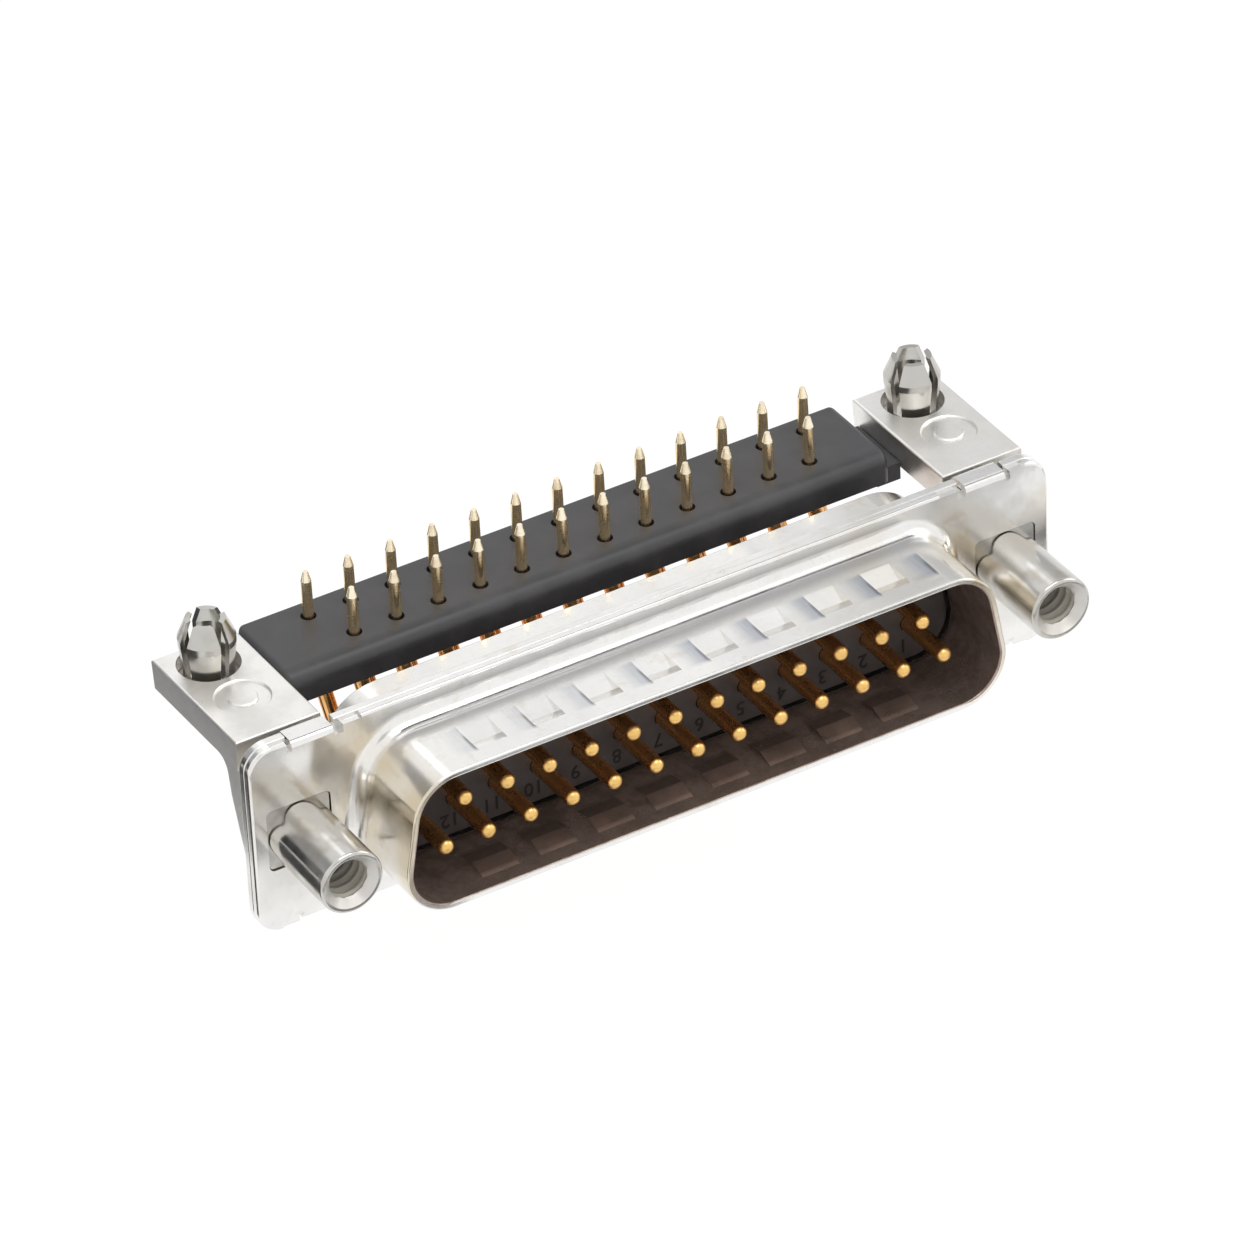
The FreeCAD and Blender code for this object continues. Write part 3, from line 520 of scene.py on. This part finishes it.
def makePost(name, side, node):
    bm = postThread()
    rim = rimEdges(bm, post["front"] + post["lip"])
    for radius, level in postProfile():
        made = bmesh.ops.extrude_edge_only(bm, edges=rim)["geom"]
        rim = [part for part in made if isinstance(part, bmesh.types.BMEdge) and part.is_boundary]
        for vert in [part for part in made if isinstance(part, bmesh.types.BMVert)]:
            x, z = vert.co.x, vert.co.z
            reach = squareReach(x, z, post["collar"], post["corner"]) if radius == "square" else radius
            size = math.hypot(x, z) / mm
            vert.co = (x * reach / size, level * mm, z * reach / size)
    bmesh.ops.bridge_loops(bm, edges=rimEdges(bm, post["back"]))
    bmesh.ops.recalc_face_normals(bm, faces=bm.faces)
    for face in bm.faces:
        x, y, z = face.calc_center_median() / mm
        reach = math.hypot(x, z)
        if y < post["floor"] and reach < post["mouth"] - post["coneMargin"]:
            face.material_index = 2      # the mouth
        elif reach < post["root"] + post["threadMargin"]:
            face.material_index = 1      # the thread
    bmesh.ops.translate(bm, verts=bm.verts, vec=(side * post["offset"] * mm, 0, 0))
    print(name, "open edges", sum(edge.is_boundary for edge in bm.edges), "faces", len(bm.faces))
    mesh = smoothMesh(bm, name, post["sharp"])
    piece = addPiece(name, mesh, "bright_nickel", "nickel", "thread", "mouth")
    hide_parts(node)


makePost("threaded_post_left", -1, "screwlock_left")
makePost("threaded_post_right", 1, "screwlock_right")
print("posts threaded")


marks = {
    # mm
    "face": -0.3, "size": 1.3, "raise": 0.03, "pitch": 2.76, "below": -2.88, "above": 2.88, "shift": -0.35,
    "wide": 13, "narrow": 12,            # positions in each row
    "curveSteps": 3, "sharp": 30,        # points along a curve, degrees
}


def digitMesh(text):
    curve = bpy.data.curves.new("digits", "FONT")
    curve.body = text
    curve.size = marks["size"] * mm
    curve.extrude = marks["raise"] * mm
    curve.align_x = "CENTER"
    curve.align_y = "CENTER"
    curve.resolution_u = marks["curveSteps"]
    words = bpy.data.objects.new("digits", curve)
    bpy.context.scene.collection.objects.link(words)
    bpy.context.view_layer.update()
    mesh = bpy.data.meshes.new_from_object(words.evaluated_get(bpy.context.evaluated_depsgraph_get()))
    bpy.data.objects.remove(words)
    bpy.data.curves.remove(curve)
    return mesh


def makeMarks(name, first, count, level):
    # raised position numbers on the insulator's face, upright when the board side is down
    bm = bmesh.new()
    turn = Matrix(((-1, 0, 0), (0, 0, -1), (0, -1, 0))).to_4x4()
    for place in range(count):
        mesh = digitMesh(str(first + place))
        across = marks["pitch"] * ((count - 1) / 2 - place) + marks["shift"]
        mesh.transform(Matrix.Translation((across * mm, marks["face"] * mm, level * mm)) @ turn)
        bm.from_mesh(mesh)
        bpy.data.meshes.remove(mesh)
    bmesh.ops.remove_doubles(bm, verts=bm.verts, dist=1e-8)
    addPiece(name, smoothMesh(bm, name, marks["sharp"]), "insulator_plastic", "marks")


makeMarks("position_numbers_wide", 1, marks["wide"], marks["below"])
makeMarks("position_numbers_narrow", 1 + marks["wide"], marks["narrow"], marks["above"])
print("numbers raised")


# floor, light and camera

studio = {
    "white": (1.0, 1.0, 1.0, 1.0),
    "daylight": (1.0, 0.995, 0.985, 1.0),
    "ambient": 0.62,
    "paper": (0.86, 0.86, 0.855, 1.0),
    "glow": 1.08,        # how bright the camera and mirrors see the floor
    "keepShadow": 0.12,  # how much of the object's shadow the floor shows
    "floor": -14.0,      # mm, the floor's height
    "width": 6.0,        # m, the floor's width
}


def rayMask(recipe):
    # 1 where the camera, a mirror or glass looks
    seen = [recipe.node("ShaderNodeLightPath", output=name)
            for name in ("Is Camera Ray", "Is Glossy Ray", "Is Transmission Ray")]
    return (seen[0] + seen[1] + seen[2]).maths("MINIMUM", 1.0)


def makeWorld():
    world = bpy.data.worlds.new("studio")
    bpy.context.scene.world = world
    recipe = Recipe(world)
    soft = recipe.node("ShaderNodeBackground", None, {
        "Color": studio["daylight"], "Strength": studio["ambient"]})
    pale = recipe.node("ShaderNodeBackground", None, {"Color": studio["white"], "Strength": 1.0})
    both = recipe.node("ShaderNodeMixShader", None, {0: rayMask(recipe), 1: soft, 2: pale})
    recipe.node("ShaderNodeOutputWorld", None, {"Surface": both})


def makeSheet(name, material, matrix):
    # a flat sheet one metre square, put in its place
    bm = bmesh.new()
    bmesh.ops.create_grid(bm, x_segments=1, y_segments=1, size=0.5)
    bm.transform(matrix)
    mesh = bpy.data.meshes.new(name)
    bm.to_mesh(mesh)
    bm.free()
    mesh.materials.append(material)
    sheet = bpy.data.objects.new(name, mesh)
    bpy.context.scene.collection.objects.link(sheet)
    return sheet


def makeFloor():
    material, recipe = newMaterial("paleFloor")
    paper = recipe.node("ShaderNodeBsdfDiffuse", None, {"Color": studio["paper"]})
    glow = recipe.node("ShaderNodeEmission", None, {
        "Color": studio["white"], "Strength": studio["glow"]})
    share = rayMask(recipe) * (1.0 - studio["keepShadow"])
    both = recipe.node("ShaderNodeMixShader", None, {0: share, 1: paper, 2: glow})
    recipe.node("ShaderNodeOutputMaterial", None, {"Surface": both})
    width = studio["width"]
    floor = makeSheet("floor", material, Matrix.Translation((0, 0, studio["floor"] * mm))
                      @ Matrix.Diagonal((width, width, 1, 1)))


softboxes = {
    # mm, watts and colour; each one looks at the part's middle
    "key": {"place": (10, -60, 215), "size": (150, 150), "power": 0.18, "tint": (1.0, 0.99, 0.97)},
    "fill": {"place": (190, -60, 110), "size": (120, 120), "power": 0.06, "tint": (0.97, 0.985, 1.0)},
}


def makeSoftbox(name, look):
    lamp = bpy.data.lights.new(name, "AREA")
    lamp.shape = "RECTANGLE"
    lamp.size, lamp.size_y = (side * mm for side in look["size"])
    lamp.energy = look["power"]
    lamp.color = look["tint"]
    held = bpy.data.objects.new(name, lamp)
    place = Vector(look["place"]) * mm
    held.location = place
    held.rotation_euler = (-place).to_track_quat("-Z", "Y").to_euler()
    bpy.context.scene.collection.objects.link(held)


cardColour = (0.97, 0.98, 1.0, 1.0)
reflectionCards = {
    # painted reflections: glowing cards that only mirrors see, dark ones for shade round the part and
    # bright ones for highlights; middle, size and turn in mm and degrees, and how bright they look
    "strip_left": {"middle": (-17, -17.4, -13), "size": (12, 5.2), "turn": (0, 0, 0), "level": 0.20},
    "strip_right": {"middle": (37, -16.4, -13), "size": (12, 4.6), "turn": (0, 0, 0), "level": 0.15},
    "front_rim": {"middle": (15, -27.8, -13), "size": (130, 5.6), "turn": (0, 0, 0), "level": 0.08},
    "left_floor": {"middle": (-57, 38, -13), "size": (45, 84), "turn": (0, 0, 0), "level": 0.08},
    "high_strip": {"middle": (60, 425, 420), "size": (110, 300), "turn": (-45, 0, 0), "level": 1.6},
    "left_back": {"middle": (-100, 77, 7), "size": (46, 42), "turn": (90, 0, 46), "level": 0.03},
    "left_high": {"middle": (-88, 92, 67), "size": (76, 76), "turn": (90, 0, 42), "level": 0.38},
    "overhead": {"middle": (75, 6, 150), "size": (190, 46), "turn": (0, 0, 0), "level": 0.12},
    "back_right": {"middle": (142, 130, 108), "size": (104, 110), "turn": (90, 0, 0), "level": 0.62},
    "camera_side": {"middle": (-81, -142, 116), "size": (70, 60), "turn": (60, 0, -30), "level": 0.60},
}


def makeReflectionCard(name, look):
    material, recipe = newMaterial(name)
    # the card glows at its level: a painted reflection, seen only in mirrors
    mirrorGlow = recipe.node("ShaderNodeEmission", None, {"Color": cardColour, "Strength": look["level"]})
    recipe.node("ShaderNodeOutputMaterial", None, {"Surface": mirrorGlow})
    width, height = look["size"]
    lean, roll, swing = [math.radians(angle) for angle in look["turn"]]
    card = makeSheet(name, material,
                     Matrix.Translation(Vector(look["middle"]) * mm) @ Matrix.Rotation(swing, 4, "Z")
                     @ Matrix.Rotation(roll, 4, "Y") @ Matrix.Rotation(lean, 4, "X")
                     @ Matrix.Diagonal((width * mm, height * mm, 1, 1)))
    card.visible_camera = False
    card.visible_diffuse = False
    card.visible_shadow = False


view = {
    "place": (-226.646, -397.93, 325.153),   # mm
    "aim": (-0.2823, 3.1409, 3.1533),
    "roll": -2.8156,                         # degrees
    "lens": 284.245,
    "sensor": 36.0,
    "clip": (0.01, 20.0),                    # m
}


def makeCamera():
    lens = bpy.data.cameras.new("camera")
    lens.lens = view["lens"]
    lens.sensor_width = view["sensor"]
    lens.clip_start, lens.clip_end = view["clip"]
    camera = bpy.data.objects.new("camera", lens)
    place, aim = (Vector(view[word]) * mm for word in ("place", "aim"))
    turn = (aim - place).to_track_quat("-Z", "Y").to_matrix()
    turn = turn @ Matrix.Rotation(math.radians(view["roll"]), 3, "Z")
    camera.matrix_world = Matrix.Translation(place) @ turn.to_4x4()
    bpy.context.scene.collection.objects.link(camera)
    bpy.context.scene.camera = camera


makeWorld()
makeFloor()
for name, look in softboxes.items():
    makeSoftbox(name, look)
for name, look in reflectionCards.items():
    makeReflectionCard(name, look)
makeCamera()
bpy.context.scene.view_settings.view_transform = "Standard"
print("studio set")
